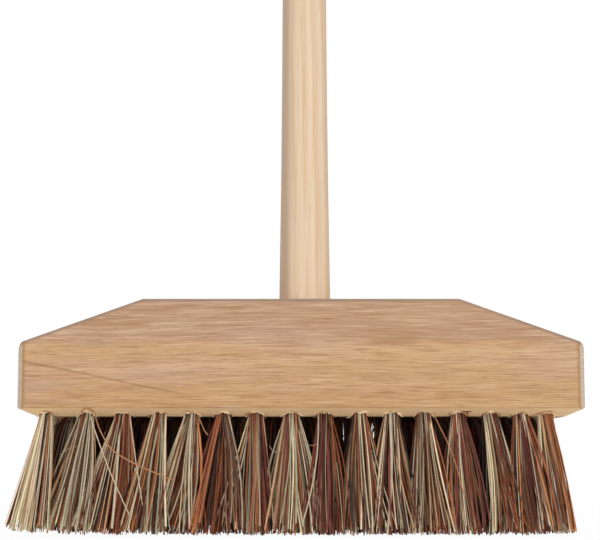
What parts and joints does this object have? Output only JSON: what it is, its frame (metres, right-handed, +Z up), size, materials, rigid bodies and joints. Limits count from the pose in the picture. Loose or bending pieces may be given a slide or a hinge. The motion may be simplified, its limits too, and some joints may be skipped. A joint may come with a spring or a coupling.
{
  "type": "deck brush",
  "caption": "Wooden deck brush: a solid stock with sloping shoulders and rows of mixed stiff plant-fibre tufts, on a long round handle seated in a slanted socket.",
  "frame": {"origin": "on the deck, under the middle of the stock, where the flat-cut tips of the tufts rest", "axes": "+X along the stock, to the right as seen from its front face; +Y from the front face to the back, the way the handle leans; +Z up, square to the deck"},
  "size_m": [0.3051, 0.5609, 1.2176],
  "materials": {
    "stock_wood": "planed bare hardwood, matt, fine grain along the stock",
    "handle_wood": "turned bare softwood, matt, straight grain along the handle",
    "fibre": "stiff plant fibres in straw, red-brown and near-black, dull sheen"
  },
  "bodies": {
    "head": {"stock": "stock_wood", "tuft_front_01": "fibre", "tuft_front_02": "fibre", "tuft_front_03": "fibre", "tuft_front_04": "fibre", "tuft_front_05": "fibre", "tuft_front_06": "fibre", "tuft_front_07": "fibre", "tuft_front_08": "fibre", "tuft_front_09": "fibre", "tuft_front_10": "fibre", "tuft_front_11": "fibre", "tuft_front_12": "fibre", "tuft_front_13": "fibre", "tuft_front_14": "fibre", "tuft_front_15": "fibre", "tuft_front_16": "fibre", "tuft_middle_01": "fibre", "tuft_middle_02": "fibre", "tuft_middle_03": "fibre", "tuft_middle_04": "fibre", "tuft_middle_05": "fibre", "tuft_middle_06": "fibre", "tuft_middle_07": "fibre", "tuft_middle_08": "fibre", "tuft_middle_09": "fibre", "tuft_middle_10": "fibre", "tuft_middle_11": "fibre", "tuft_middle_12": "fibre", "tuft_middle_13": "fibre", "tuft_middle_14": "fibre", "tuft_middle_15": "fibre", "tuft_back_01": "fibre", "tuft_back_02": "fibre", "tuft_back_03": "fibre", "tuft_back_04": "fibre", "tuft_back_05": "fibre", "tuft_back_06": "fibre", "tuft_back_07": "fibre", "tuft_back_08": "fibre", "tuft_back_09": "fibre", "tuft_back_10": "fibre", "tuft_back_11": "fibre", "tuft_back_12": "fibre", "tuft_back_13": "fibre", "tuft_back_14": "fibre", "tuft_back_15": "fibre", "tuft_back_16": "fibre"},
    "handle": {"handle": "handle_wood"}
  },
  "joints": [
    {"name": "handle_pull", "type": "slide", "parent": "head", "child": "handle", "axis": [0, 0.4226, 0.9063], "range_m": [0, 0.08]}
  ]
}
